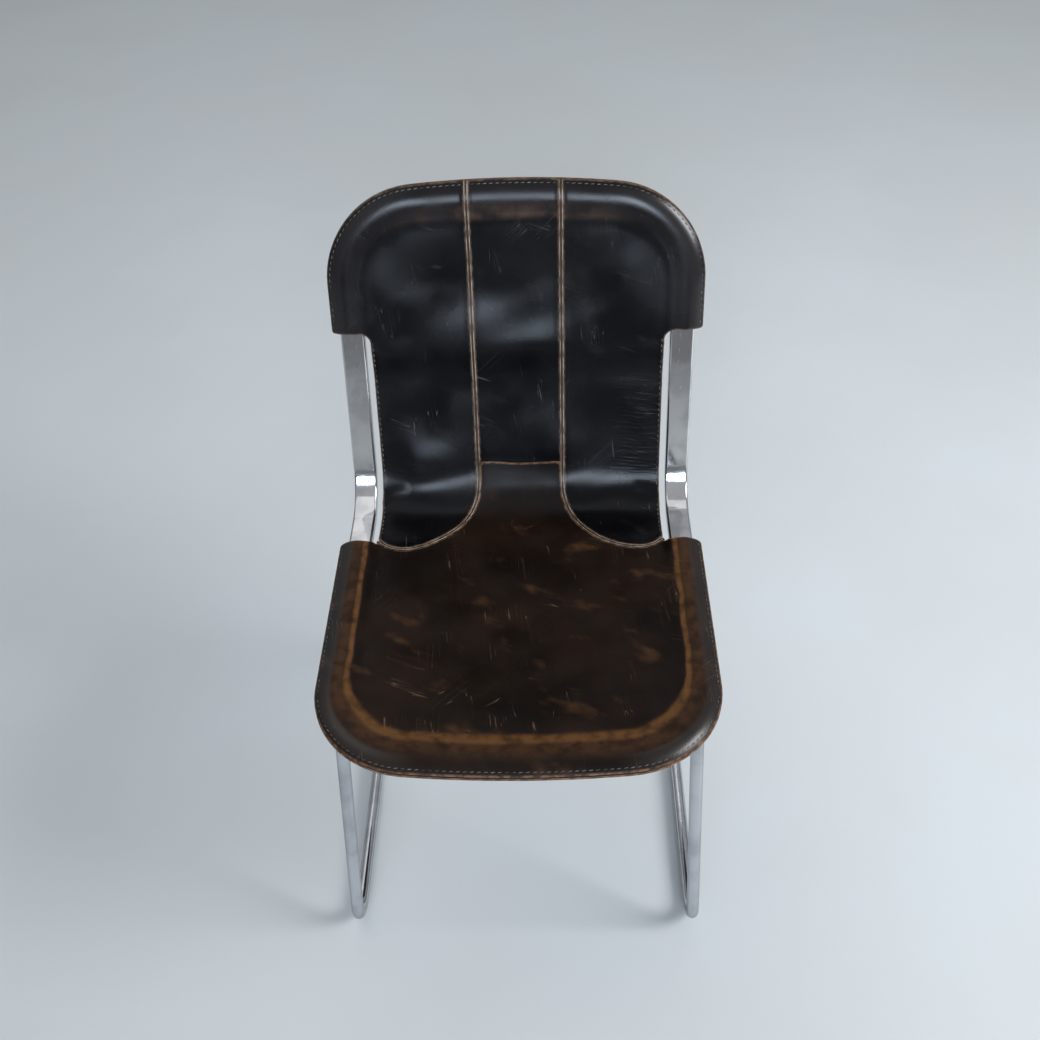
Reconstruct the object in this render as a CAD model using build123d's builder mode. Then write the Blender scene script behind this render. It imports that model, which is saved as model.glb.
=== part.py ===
from build123d import *
from math import asin, cos, degrees, pi, radians, sin, sqrt, tan
import os

# A leather dining chair: a hoop of flat chromed tube, two round sled loops for
# legs, and a two-layer leather sling whose pouches slip over both ends of the hoop.
# Millimetres and degrees. The sitter faces -Y, +Z is up and the floor is Z = 0.

# Hoop of flat tube
RAIL_SPAN = 420.0
RAIL_WIDTH = 30.0
RAIL_DEPTH = 15.0
RAIL_EDGE_RADIUS = 3.0
RAIL_WALL = 1.5
SEAT_RAIL_HEIGHT = 411.0
SEAT_DEPTH = 437.5
BACK_LENGTH = 404.0
BACK_LEAN = 14.0
WAIST_RADIUS = 62.0
CORNER_RADIUS = 96.0
BOW_RADIUS = 1350.0
SEAT_JOINT = 150.0
BACK_JOINT_INSET = 124.0
SLEEVE_LENGTH = 40.0
SLEEVE_CLEARANCE = 0.1

# Sled loops of round tube
LEG_DIAMETER = 16.0
LEG_WALL = 1.5
FOOT_SPAN = 446.0
FRONT_LEG_SETBACK = 79.0
REAR_LEG_SETBACK = 65.0
FRONT_FOOT_REACH = 241.0
REAR_FOOT_REACH = 240.0
LEG_BEND_RADIUS = 36.0
LEG_TOP_SPARE = 20.0
WELD_SIZE = 2.5
WELD_DROP = 4.5

# Floor glides
GLIDE_LENGTH = 26.0
GLIDE_WIDTH = 12.0
GLIDE_THICKNESS = 2.5
GLIDE_WRAP = 2.5
GLIDE_EDGE_RADIUS = 4.0
GLIDE_INSET = 75.0
PEG_DIAMETER = 5.0
PEG_LENGTH = 6.0

# Leather
LEATHER = 3.0
LEATHER_GAP = 0.3
SEAM_FLANGE = 7.7
RIM_LAP = 1.0
WEB_TUCK = 1.5
WEB_SKIM = 0.4
WEB_OVERRUN = 8.0
SEAT_POUCH_BACK = 97.5
BACK_POUCH_BOTTOM = 240.0
SEAT_SAG = 13.0
WAIST_SAG = 5.0
BACK_SAG = 8.5
WAIST_DROP = 6.0
DROP_LENGTH = 55.0
DROP_DELAY = 14.0
WAIST_WIDTH = 374.0
MOUTH_RADIUS = 8.0
CENTRE_PANEL_WIDTH = 114.0
FLARE_RADIUS = 98.0
FLARE_TOP = 16.0
FLARE_END_RADIUS = 45.0
FLARE_END_TURN = 40.0
LAP_HEIGHT = 42.0
WELT_WIDTH = 5.0
WELT_PROUD = 2.5
LEG_SLOT_WIDTH = 23.0

# Sizes that follow from the ones above
LEAN = radians(BACK_LEAN)
HALF_SPAN = RAIL_SPAN / 2
HALF_WIDTH = RAIL_WIDTH / 2
HALF_DEPTH = RAIL_DEPTH / 2
WAIST_ANGLE = pi / 2 - LEAN
WAIST_TANGENT = WAIST_RADIUS * tan(WAIST_ANGLE / 2)
BOW_SLOPE = asin((HALF_SPAN - CORNER_RADIUS) / (BOW_RADIUS - CORNER_RADIUS))
CORNER_RISE = CORNER_RADIUS * cos(BOW_SLOPE) + BOW_RADIUS * (1 - cos(BOW_SLOPE))
WRAP = LEATHER_GAP + LEATHER
FLANGE_REACH = HALF_WIDTH + WRAP + SEAM_FLANGE
FLAT_HALF_WIDTH = HALF_WIDTH - RAIL_EDGE_RADIUS
FLAT_HALF_DEPTH = HALF_DEPTH - RAIL_EDGE_RADIUS
BACK_REACH = (
    (BACK_LENGTH + FLAT_HALF_WIDTH) * sin(LEAN)
    + FLAT_HALF_DEPTH * cos(LEAN)
    + RAIL_EDGE_RADIUS
    + WRAP
)
CORNER_Y = (SEAT_DEPTH + FLANGE_REACH - BACK_REACH) / 2
BACK_JOINT = BACK_LENGTH - BACK_JOINT_INSET
RAIL_UNDERSIDE = SEAT_RAIL_HEIGHT - HALF_DEPTH
RUNNER_HEIGHT = GLIDE_THICKNESS + LEG_DIAMETER / 2
CUT_REACH = SEAT_DEPTH + BACK_LENGTH

# Reference planes, all through the line where seat plane and back plane meet.
# Seat: local Y runs to the front. Back: local Y runs up the back. Cut: halves the angle.
corner = (0, CORNER_Y, SEAT_RAIL_HEIGHT)
seat_plane = Plane(origin=corner, x_dir=(-1, 0, 0), z_dir=(0, 0, 1))
back_plane = Plane(origin=corner, x_dir=(1, 0, 0), z_dir=(0, -cos(LEAN), sin(LEAN)))
cut_plane = Plane(
    origin=corner,
    x_dir=(1, 0, 0),
    z_dir=(0, -sin(WAIST_ANGLE / 2), cos(WAIST_ANGLE / 2)),
)


def finish(builder, name):
    """Label one piece and save it."""
    builder.part.label = name
    export_step(builder.part, "parts/" + name + ".step")


def hoop_end(plane, start, apex, inset=0.0):
    """Line of one rounded end of the hoop, from side to side; inset moves it inside the centre-line."""
    turn = 90 - degrees(BOW_SLOPE)
    half = HALF_SPAN - inset
    with BuildLine(plane) as line:
        side = Line((half, start), (half, apex - CORNER_RISE))
        near = JernArc(side @ 1, side % 1, CORNER_RADIUS - inset, turn)
        bow = JernArc(near @ 1, near % 1, BOW_RADIUS - inset, 2 * degrees(BOW_SLOPE))
        far = JernArc(bow @ 1, bow % 1, CORNER_RADIUS - inset, turn)
        Line(far @ 1, plane.from_local_coords(Vector(-half, start, 0)))
    return line.line


def section_plane(plane, start):
    """Plane across the start of a hoop end: local X points outwards, local Y out of the face."""
    origin = plane.from_local_coords(Vector(HALF_SPAN, start, 0))
    return Plane(origin=origin, x_dir=plane.x_dir, z_dir=-plane.y_dir)


def flat_tube(plane, path):
    """Hollow flat tube swept along a path, drawn on a plane across its start."""
    with BuildPart() as tube:
        with BuildSketch(plane):
            RectangleRounded(RAIL_WIDTH, RAIL_DEPTH, RAIL_EDGE_RADIUS)
            offset(amount=-RAIL_WALL, mode=Mode.SUBTRACT)
        sweep(path=path)
    return tube


def rim(plane, start, apex, side, thickness):
    """Leather wrapped half way round a hoop end: side 1 is the face, side -1 the lining."""
    inner = RAIL_EDGE_RADIUS + LEATHER_GAP
    outer = inner + thickness
    level = HALF_DEPTH + LEATHER_GAP
    inside = -HALF_WIDTH - RIM_LAP
    bend = FLAT_HALF_WIDTH
    pivot = FLAT_HALF_DEPTH
    arc = 90 * side
    with BuildPart() as strip:
        with BuildSketch(section_plane(plane, start)):
            with BuildLine():
                Polyline(
                    (bend, level * side),
                    (inside, level * side),
                    (inside, (level + thickness) * side),
                )
                top = Line((inside, (level + thickness) * side), (bend, (level + thickness) * side))
                JernArc(top @ 1, top % 1, outer, -arc)
                Polyline(
                    (bend + outer, pivot * side),
                    (bend + outer, thickness * side),
                    (FLANGE_REACH, thickness * side),
                    (FLANGE_REACH, 0),
                    (bend + inner, 0),
                    (bend + inner, pivot * side),
                )
                CenterArc((bend, pivot * side), inner, 0, arc)
            make_face()
        sweep(path=hoop_end(plane, start, apex))
    return strip


# Lengths along the middle of the sling, from its front end to its top end
WEB_HALF = HALF_SPAN - HALF_WIDTH + 2 * WEB_TUCK
SEAT_RUN = SEAT_DEPTH - HALF_WIDTH + WEB_OVERRUN - WAIST_TANGENT
WAIST_RUN = WAIST_RADIUS * WAIST_ANGLE
BACK_RUN = BACK_LENGTH - HALF_WIDTH + WEB_OVERRUN - WAIST_TANGENT
WEB_RUN = SEAT_RUN + WAIST_RUN + BACK_RUN
SEAT_MOUTH = SEAT_RUN + WAIST_TANGENT - SEAT_POUCH_BACK
BACK_MOUTH = SEAT_RUN + WAIST_RUN + BACK_POUCH_BOTTOM - WAIST_TANGENT
SAG_HALF = HALF_SPAN - HALF_WIDTH - RIM_LAP
WEB_LEATHER = LEATHER - 2 * WEB_SKIM
SEAT_STEPS = 14
WAIST_STEPS = 8
BACK_STEPS = 14
ACROSS_STEPS = 14
SURFACE_TOLERANCE = 0.2
SURFACE_LEAST_DEGREE = 3
SURFACE_MOST_DEGREE = 5


def ease(value):
    """Smooth step from 0 to 1."""
    held = min(max(value, 0.0), 1.0)
    return held * held * (3 - 2 * held)


def web_plane(run):
    """Plane across the sling at a length along it: local Y points to the sitter."""
    if run <= SEAT_RUN:
        turn = 0.0
        y = CORNER_Y - WAIST_TANGENT - (SEAT_RUN - run)
        z = SEAT_RAIL_HEIGHT
    elif run <= SEAT_RUN + WAIST_RUN:
        turn = (run - SEAT_RUN) / WAIST_RADIUS
        y = CORNER_Y - WAIST_TANGENT + WAIST_RADIUS * sin(turn)
        z = SEAT_RAIL_HEIGHT + WAIST_RADIUS * (1 - cos(turn))
    else:
        turn = WAIST_ANGLE
        rise = WAIST_TANGENT + run - SEAT_RUN - WAIST_RUN
        y = CORNER_Y + rise * sin(LEAN)
        z = SEAT_RAIL_HEIGHT + rise * cos(LEAN)
    return Plane(origin=(0, y, z), x_dir=(-1, 0, 0), z_dir=(0, cos(turn), sin(turn)))


def web_sag(run):
    """Hollow at the middle of the sling below its edges."""
    middle = SEAT_RUN + WAIST_RUN / 2
    front = ease(run / (SEAT_RUN / 2)) * SEAT_SAG
    waist = ease((run - SEAT_RUN / 2) / (middle - SEAT_RUN / 2))
    back = ease((run - middle) / (BACK_RUN / 2))
    top = ease((WEB_RUN - run) / (BACK_RUN / 2))
    seat_part = front + waist * (WAIST_SAG - SEAT_SAG)
    return (seat_part + back * (BACK_SAG - WAIST_SAG)) * top


def web_drop(run):
    """How far the free edges lie below the rail face between the two pouches."""
    down = ease((run - SEAT_MOUTH - DROP_DELAY) / DROP_LENGTH)
    up = ease((BACK_MOUTH - DROP_DELAY - run) / DROP_LENGTH)
    return WAIST_DROP * down * up


def web_level(run, x):
    """Height of the underside of the face leather above the middle of the rails."""
    hollow = max(1 - (x / SAG_HALF) ** 2, 0.0) ** 2
    return HALF_DEPTH + LEATHER_GAP + WEB_SKIM - web_drop(run) - web_sag(run) * hollow


def stations():
    """Lengths along the sling where its section is drawn."""
    seat_runs = [SEAT_RUN * k / SEAT_STEPS for k in range(SEAT_STEPS)]
    waist_runs = [SEAT_RUN + WAIST_RUN * k / WAIST_STEPS for k in range(WAIST_STEPS)]
    back_runs = [WEB_RUN - BACK_RUN * k / BACK_STEPS for k in range(BACK_STEPS, -1, -1)]
    return seat_runs + waist_runs + back_runs


def web(thickness):
    """Hollowed sheet between the rails; its edges lie flat inside the rims."""
    xs = [WEB_HALF * k / ACROSS_STEPS for k in range(-ACROSS_STEPS, ACROSS_STEPS + 1)]
    rows = []
    for run in stations():
        across = web_plane(run)
        rows.append([across.from_local_coords(Vector(x, web_level(run, x), 0)) for x in xs])
    with BuildPart() as sheet:
        surface = Face.make_surface_from_array_of_points(
            rows,
            tol=SURFACE_TOLERANCE,
            min_deg=SURFACE_LEAST_DEGREE,
            max_deg=SURFACE_MOST_DEGREE,
        )
        extrude(surface, amount=thickness / cos(WAIST_ANGLE / 2), dir=cut_plane.z_dir)
        extrude(seat_corners.sketch, amount=CORNER_RADIUS, both=True, mode=Mode.SUBTRACT)
        extrude(back_corners.sketch, amount=CORNER_RADIUS, both=True, mode=Mode.SUBTRACT)
    return sheet


def outside_corners(plane, apex):
    """Everything round one end of the hoop that the sling between the rails leaves out."""
    inset = HALF_WIDTH - WEB_TUCK
    with BuildSketch(plane) as outside:
        with Locations((0, apex - CORNER_RISE / 2)):
            Rectangle(2 * RAIL_SPAN, CORNER_RISE + 2 * RAIL_WIDTH)
        with BuildLine():
            add(hoop_end(Plane.XY, 0, apex, inset))
            Line((HALF_SPAN - inset, 0), (inset - HALF_SPAN, 0))
        make_face(mode=Mode.SUBTRACT)
    return outside


seat_corners = outside_corners(seat_plane, SEAT_DEPTH)
back_corners = outside_corners(back_plane, BACK_LENGTH)

os.makedirs("parts", exist_ok=True)

# The hoop: two rounded ends hidden in the pouches and two bent side rails
seat_front_tube = flat_tube(
    section_plane(seat_plane, SEAT_JOINT),
    hoop_end(seat_plane, SEAT_JOINT, SEAT_DEPTH),
)
finish(seat_front_tube, "seat_front_tube")

back_arch_tube = flat_tube(
    section_plane(back_plane, BACK_JOINT),
    hoop_end(back_plane, BACK_JOINT, BACK_LENGTH),
)
finish(back_arch_tube, "back_arch_tube")

for name, hand in (("side_rail_left", -1), ("side_rail_right", 1)):
    rail_start = (hand * HALF_SPAN, CORNER_Y - SEAT_JOINT, SEAT_RAIL_HEIGHT)
    rail_view = Plane(
        origin=(hand * HALF_SPAN, CORNER_Y, SEAT_RAIL_HEIGHT),
        x_dir=(0, 1, 0),
        z_dir=(1, 0, 0),
    )
    with BuildLine(rail_view) as rail_path:
        FilletPolyline(
            (-SEAT_JOINT, 0),
            (0, 0),
            (BACK_JOINT * sin(LEAN), BACK_JOINT * cos(LEAN)),
            radius=WAIST_RADIUS,
        )
    rail = flat_tube(Plane(origin=rail_start, x_dir=(1, 0, 0), z_dir=(0, 1, 0)), rail_path.line)
    finish(rail, name)

with BuildPart() as joint_sleeves:
    for plane, start in ((seat_plane, SEAT_JOINT), (back_plane, BACK_JOINT)):
        across = section_plane(plane, start)
        with BuildSketch(across):
            with Locations((0, 0), (-RAIL_SPAN, 0)):
                RectangleRounded(
                    RAIL_WIDTH - 2 * (RAIL_WALL + SLEEVE_CLEARANCE),
                    RAIL_DEPTH - 2 * (RAIL_WALL + SLEEVE_CLEARANCE),
                    RAIL_EDGE_RADIUS - RAIL_WALL,
                )
                RectangleRounded(
                    RAIL_WIDTH - 4 * RAIL_WALL,
                    RAIL_DEPTH - 4 * RAIL_WALL,
                    RAIL_EDGE_RADIUS - RAIL_WALL,
                    mode=Mode.SUBTRACT,
                )
        extrude(amount=SLEEVE_LENGTH / 2, both=True)
finish(joint_sleeves, "joint_sleeves")

# Sled loops: each lies in a plane that leans outwards towards the floor
corner_reach = max(CORNER_RISE - FRONT_LEG_SETBACK, 0.0)
leg_top_x = HALF_SPAN - CORNER_RADIUS + sqrt(CORNER_RADIUS**2 - corner_reach**2)
front_leg_y = CORNER_Y - SEAT_DEPTH + FRONT_LEG_SETBACK
rear_leg_y = CORNER_Y - REAR_LEG_SETBACK
leg_rise = RAIL_UNDERSIDE - RUNNER_HEIGHT
runner_x = FOOT_SPAN / 2
splay = (leg_top_x - runner_x) / leg_rise
loop_rise = leg_rise * sqrt(1 + splay**2)
glide_ys = (-FRONT_FOOT_REACH + GLIDE_INSET, REAR_FOOT_REACH - GLIDE_INSET)


def beyond(foot, top):
    """Point past the top of a leg along its own line, in the plane of the loop."""
    grow = (loop_rise + LEG_TOP_SPARE) / loop_rise
    return (foot + (top - foot) * grow, loop_rise + LEG_TOP_SPARE)


front_top = beyond(-FRONT_FOOT_REACH, front_leg_y)
rear_top = beyond(REAR_FOOT_REACH, rear_leg_y)

for name, hand in (("sled_tube_left", -1), ("sled_tube_right", 1)):
    loop_plane = Plane(
        origin=(hand * runner_x, 0, RUNNER_HEIGHT),
        x_dir=(0, 1, 0),
        z_dir=(1, 0, -hand * splay),
    )
    with BuildLine(loop_plane) as loop:
        FilletPolyline(
            front_top,
            (-FRONT_FOOT_REACH, 0),
            (REAR_FOOT_REACH, 0),
            rear_top,
            radius=LEG_BEND_RADIUS,
        )
    with BuildPart() as sled:
        with BuildSketch(Plane(origin=loop.line @ 0, z_dir=loop.line % 0)):
            Circle(LEG_DIAMETER / 2)
            Circle(LEG_DIAMETER / 2 - LEG_WALL, mode=Mode.SUBTRACT)
        sweep(path=loop.line)
        split(bisect_by=Plane.XY.offset(RAIL_UNDERSIDE), keep=Keep.BOTTOM)
        with BuildSketch():
            with Locations(*[(hand * runner_x, y) for y in glide_ys]):
                Circle(PEG_DIAMETER / 2)
        extrude(amount=RUNNER_HEIGHT, mode=Mode.SUBTRACT)
    finish(sled, name)

with BuildPart() as leg_weld_beads:
    for hand in (-1, 1):
        for foot, top in ((-FRONT_FOOT_REACH, front_leg_y), (REAR_FOOT_REACH, rear_leg_y)):
            leg_foot = Vector(hand * runner_x, foot, RUNNER_HEIGHT)
            leg_top = Vector(hand * leg_top_x, top, RAIL_UNDERSIDE)
            with BuildSketch(Plane(origin=leg_top, z_dir=leg_foot - leg_top)):
                Circle(LEG_DIAMETER / 2 + WELD_SIZE)
            extrude(amount=WELD_DROP, taper=degrees(WELD_SIZE / WELD_DROP) / 2)
            with BuildSketch(Plane(origin=leg_top, z_dir=leg_top - leg_foot)):
                Circle(LEG_DIAMETER / 2 + WELD_SIZE)
            extrude(amount=LEG_TOP_SPARE)
    for hand in (-1, 1):
        for foot, top in ((-FRONT_FOOT_REACH, front_leg_y), (REAR_FOOT_REACH, rear_leg_y)):
            leg_foot = Vector(hand * runner_x, foot, RUNNER_HEIGHT)
            leg_top = Vector(hand * leg_top_x, top, RAIL_UNDERSIDE)
            with BuildSketch(Plane(origin=leg_top, z_dir=leg_foot - leg_top)):
                Circle(LEG_DIAMETER / 2)
            extrude(amount=LEG_TOP_SPARE, both=True, mode=Mode.SUBTRACT)
    split(bisect_by=Plane.XY.offset(RAIL_UNDERSIDE), keep=Keep.BOTTOM)
finish(leg_weld_beads, "leg_weld_beads")

for place, y in zip(("front", "rear"), glide_ys):
    for hand, side in ((-1, "left"), (1, "right")):
        with BuildPart() as glide:
            with BuildSketch():
                with Locations((hand * runner_x, y)):
                    RectangleRounded(GLIDE_WIDTH, GLIDE_LENGTH, GLIDE_EDGE_RADIUS)
            extrude(amount=GLIDE_THICKNESS + GLIDE_WRAP)
            with BuildSketch(Plane.XZ.offset(-y - GLIDE_LENGTH)):
                with Locations((hand * runner_x, RUNNER_HEIGHT)):
                    Circle(LEG_DIAMETER / 2)
            extrude(amount=2 * GLIDE_LENGTH, mode=Mode.SUBTRACT)
            with BuildSketch():
                with Locations((hand * runner_x, y)):
                    Circle(PEG_DIAMETER / 2)
            extrude(amount=GLIDE_THICKNESS + PEG_LENGTH)
        finish(glide, "glide_" + place + "_" + side)

# Lines of the pouch mouths and seams on the cut plane
half_turn = WAIST_ANGLE / 2
seam_x = CENTRE_PANEL_WIDTH / 2
waist_x = WAIST_WIDTH / 2


def seam_line(hand):
    """One long seam: straight down the back, flaring out, then up to the corner of the seat pouch."""
    with BuildLine() as seam:
        drop = Line((hand * seam_x, CUT_REACH), (hand * seam_x, FLARE_TOP))
        flare = JernArc(drop @ 1, drop % 1, FLARE_RADIUS, hand * 90)
        upturn = JernArc(flare @ 1, flare % 1, FLARE_END_RADIUS, hand * FLARE_END_TURN)
        Line(upturn @ 1, upturn @ 1 + (upturn % 1) * CUT_REACH)
    return seam.line


def seam_band(hand):
    """Strip as wide as the welt along one long seam."""
    with BuildSketch(cut_plane) as band:
        trace(seam_line(hand), line_width=WELT_WIDTH)
    return band.sketch


def side_region(hand):
    """Everything outside one long seam."""
    with BuildSketch(cut_plane) as region:
        with BuildLine():
            seam = seam_line(hand)
            add(seam)
            far_end = seam @ 1
            Polyline(far_end, (far_end.X, CUT_REACH), (hand * seam_x, CUT_REACH))
        make_face()
    return region.sketch


with BuildSketch(cut_plane) as centre_region:
    with Locations((0, (LAP_HEIGHT + CUT_REACH) / 2)):
        Rectangle(CENTRE_PANEL_WIDTH, CUT_REACH - LAP_HEIGHT)


def waist_sides(level):
    """The two strips left out between the pouch mouths, for leather at one level over the rail's middle."""
    lift = level * sin(half_turn)
    low = -SEAT_POUCH_BACK * cos(half_turn) + lift
    high = BACK_POUCH_BOTTOM * cos(half_turn) - lift
    with BuildSketch(cut_plane) as strips:
        for hand in (-1, 1):
            with Locations((hand * (waist_x + CUT_REACH / 2), (low + high) / 2)):
                Rectangle(CUT_REACH, high - low)
        fillet(strips.vertices().group_by(Axis.Y)[-1].sort_by(Axis.X)[1:3], MOUTH_RADIUS)
    return strips.sketch


face_waist = waist_sides(HALF_DEPTH + LEATHER_GAP)
lining_waist = waist_sides(-HALF_DEPTH - WRAP)

# The face of the sling, cut into panels along its seams
face_web = web(WEB_LEATHER)
seat_rim = rim(seat_plane, SEAT_POUCH_BACK, SEAT_DEPTH, 1, LEATHER)
back_rim = rim(back_plane, BACK_POUCH_BOTTOM, BACK_LENGTH, 1, LEATHER)

with BuildPart() as sling:
    add(face_web.part)
    extrude(face_waist, amount=CUT_REACH, both=True, mode=Mode.SUBTRACT)

for name, hand in (("back_panel_left", -1), ("back_panel_right", 1)):
    with BuildPart() as side_panel:
        add(sling.part)
        add(back_rim.part)
        extrude(side_region(hand), amount=CUT_REACH, both=True, mode=Mode.INTERSECT)
        extrude(seam_band(hand), amount=CUT_REACH, both=True, mode=Mode.SUBTRACT)
    finish(side_panel, name)

with BuildPart() as back_panel_centre:
    add(sling.part)
    add(back_rim.part)
    extrude(centre_region.sketch, amount=CUT_REACH, both=True, mode=Mode.INTERSECT)
    for hand in (-1, 1):
        extrude(seam_band(hand), amount=CUT_REACH, both=True, mode=Mode.SUBTRACT)
finish(back_panel_centre, "back_panel_centre")

with BuildPart() as seat_panel:
    add(sling.part)
    extrude(centre_region.sketch, amount=CUT_REACH, both=True, mode=Mode.SUBTRACT)
    for hand in (-1, 1):
        extrude(side_region(hand), amount=CUT_REACH, both=True, mode=Mode.SUBTRACT)
        extrude(seam_band(hand), amount=CUT_REACH, both=True, mode=Mode.SUBTRACT)
    add(seat_rim.part)
finish(seat_panel, "seat_panel")

# Raised welts in the two long seams
welt_web = web(WEB_LEATHER + WELT_PROUD)
welt_rim = rim(back_plane, BACK_POUCH_BOTTOM, BACK_LENGTH, 1, LEATHER + WELT_PROUD)
for name, hand in (("seam_welt_left", -1), ("seam_welt_right", 1)):
    with BuildPart() as welt:
        add(welt_web.part)
        extrude(face_waist, amount=CUT_REACH, both=True, mode=Mode.SUBTRACT)
        add(welt_rim.part)
        extrude(seam_band(hand), amount=CUT_REACH, both=True, mode=Mode.INTERSECT)
    finish(welt, name)

# The second leather layer, parted at the mouth of the seat pouch
side_view = Plane(origin=corner, x_dir=(0, 1, 0), z_dir=(1, 0, 0))


def bent_line(level):
    """Side view of a sheet that follows the rails at a level above their middle."""
    turn = level * tan(half_turn)
    front = SEAT_DEPTH - HALF_WIDTH + WEB_OVERRUN
    top = BACK_LENGTH - HALF_WIDTH + WEB_OVERRUN
    with BuildLine() as line:
        FilletPolyline(
            (-front, level),
            (-turn, level),
            (top * sin(LEAN) - level * cos(LEAN), top * cos(LEAN) + level * sin(LEAN)),
            radius=WAIST_RADIUS - level,
        )
    return line.line


lower_line = bent_line(-HALF_DEPTH - WRAP + WEB_SKIM)
upper_line = bent_line(-HALF_DEPTH - LEATHER_GAP - WEB_SKIM)

with BuildPart() as lining_web:
    with BuildSketch(side_view):
        with BuildLine():
            add(lower_line)
            add(upper_line)
            Line(lower_line @ 0, upper_line @ 0)
            Line(lower_line @ 1, upper_line @ 1)
        make_face()
    extrude(amount=WEB_HALF, both=True)
    extrude(seat_corners.sketch, amount=CORNER_RADIUS, both=True, mode=Mode.SUBTRACT)
    extrude(back_corners.sketch, amount=CORNER_RADIUS, both=True, mode=Mode.SUBTRACT)
seat_lining_rim = rim(seat_plane, SEAT_POUCH_BACK, SEAT_DEPTH, -1, LEATHER)
back_lining_rim = rim(back_plane, BACK_POUCH_BOTTOM, BACK_LENGTH, -1, LEATHER)
mouth_plane = Plane(
    origin=(0, CORNER_Y - SEAT_POUCH_BACK, SEAT_RAIL_HEIGHT),
    x_dir=(1, 0, 0),
    z_dir=(0, -1, 0),
)

with BuildPart() as seat_lining:
    add(lining_web.part)
    split(bisect_by=mouth_plane, keep=Keep.TOP)
    add(seat_lining_rim.part)
    with BuildSketch(Plane.XY.offset(RAIL_UNDERSIDE)) as leg_slots:
        for hand in (-1, 1):
            with Locations((hand * leg_top_x, front_leg_y)):
                Circle(LEG_SLOT_WIDTH / 2)
            with Locations((hand * leg_top_x, front_leg_y + SEAT_DEPTH / 2)):
                Rectangle(LEG_SLOT_WIDTH, SEAT_DEPTH)
    extrude(amount=-LEG_TOP_SPARE, mode=Mode.SUBTRACT)
finish(seat_lining, "seat_lining")

with BuildPart() as back_lining:
    add(lining_web.part)
    split(bisect_by=mouth_plane, keep=Keep.BOTTOM)
    extrude(lining_waist, amount=CUT_REACH, both=True, mode=Mode.SUBTRACT)
    add(back_lining_rim.part)
finish(back_lining, "back_lining")
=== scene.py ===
# %% [markdown]
# # A leather dining chair
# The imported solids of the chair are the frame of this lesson. Their chromed tubes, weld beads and
# glides stay and get finishes. The leather solids are stiff stand-ins, so each is hidden and a sewn
# leather piece takes its place.

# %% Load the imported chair
from math import asin, ceil, cos, pi, radians, sin, tan

import bpy
import numpy as np
from mathutils import Matrix, Vector
from mathutils.geometry import delaunay_2d_cdt


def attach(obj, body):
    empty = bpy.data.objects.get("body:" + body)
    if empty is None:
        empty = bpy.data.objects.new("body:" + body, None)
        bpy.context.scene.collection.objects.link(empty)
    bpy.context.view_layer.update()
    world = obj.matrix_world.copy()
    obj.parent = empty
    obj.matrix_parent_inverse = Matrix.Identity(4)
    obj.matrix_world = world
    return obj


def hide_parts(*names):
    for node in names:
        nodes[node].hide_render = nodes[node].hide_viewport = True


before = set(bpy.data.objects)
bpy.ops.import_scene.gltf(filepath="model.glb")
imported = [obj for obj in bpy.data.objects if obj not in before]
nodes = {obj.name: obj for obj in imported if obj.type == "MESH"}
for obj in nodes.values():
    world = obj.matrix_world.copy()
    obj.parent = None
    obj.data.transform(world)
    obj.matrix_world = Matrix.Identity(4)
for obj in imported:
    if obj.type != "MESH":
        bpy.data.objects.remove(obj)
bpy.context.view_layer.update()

bpy.ops.object.select_all(action="DESELECT")
scene = bpy.context.scene

# %% [markdown]
# ## The camera
# The chair is seen from the front and well above, a little to its right, with the camera
# slightly tilted. A camera is placed by three directions: forward, right and down. The tilt
# turns right and down about forward. The lens follows from the focal length in pixels.

# %% Place the camera
PICTURE = 1040
FOCAL_PIXELS = 1184.5
SENSOR = 36.0
CAMERA_PLACE = (0.0411, -1.0424, 1.4841)
PITCH = radians(42.49)
YAW = radians(-2.05)
TILT = radians(2.03)

forward = Vector((sin(YAW) * cos(PITCH), cos(YAW) * cos(PITCH), -sin(PITCH)))
level_right = Vector((cos(YAW), -sin(YAW), 0))
level_down = forward.cross(level_right)
right = cos(TILT) * level_right + sin(TILT) * level_down
down = cos(TILT) * level_down - sin(TILT) * level_right

bpy.ops.object.camera_add()
camera = bpy.context.object
camera.name = "camera"
turned = Matrix((right, -down, -forward)).transposed().to_4x4()
camera.matrix_world = Matrix.Translation(CAMERA_PLACE) @ turned
camera.data.sensor_width = SENSOR
camera.data.lens = SENSOR * FOCAL_PIXELS / PICTURE
scene.camera = camera
print("lens", round(camera.data.lens, 2), "mm")

# %% [markdown]
# ## Helpers for materials
# Every finish is a tree of nodes. Short helpers keep that readable: one feeds a socket, one
# adds a node, one starts a material with a Principled shader whose constant values are set
# on its own sockets, and three blend colours, do sums and stretch a value to a new range.

# %% Node helpers
def feed(tree, socket, value):
    """Gives a socket a constant, or links it to the output that feeds it."""
    if isinstance(value, bpy.types.NodeSocket):
        tree.links.new(value, socket)
    else:
        socket.default_value = value


def node(tree, kind, inputs=(), **settings):
    """Adds a node with its settings; inputs maps sockets to what feeds them."""
    made = tree.nodes.new(kind)
    for name, value in settings.items():
        setattr(made, name, value)
    for name, value in dict(inputs).items():
        feed(tree, made.inputs[name], value)
    return made


def material(name, **constants):
    """A new material: its tree, and its Principled shader with constant sockets set."""
    made = bpy.data.materials.new(name)
    made.use_nodes = True
    shader = made.node_tree.nodes["Principled BSDF"]
    for socket, value in constants.items():
        shader.inputs[socket.replace("_", " ")].default_value = value
    return made, made.node_tree, shader


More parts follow.
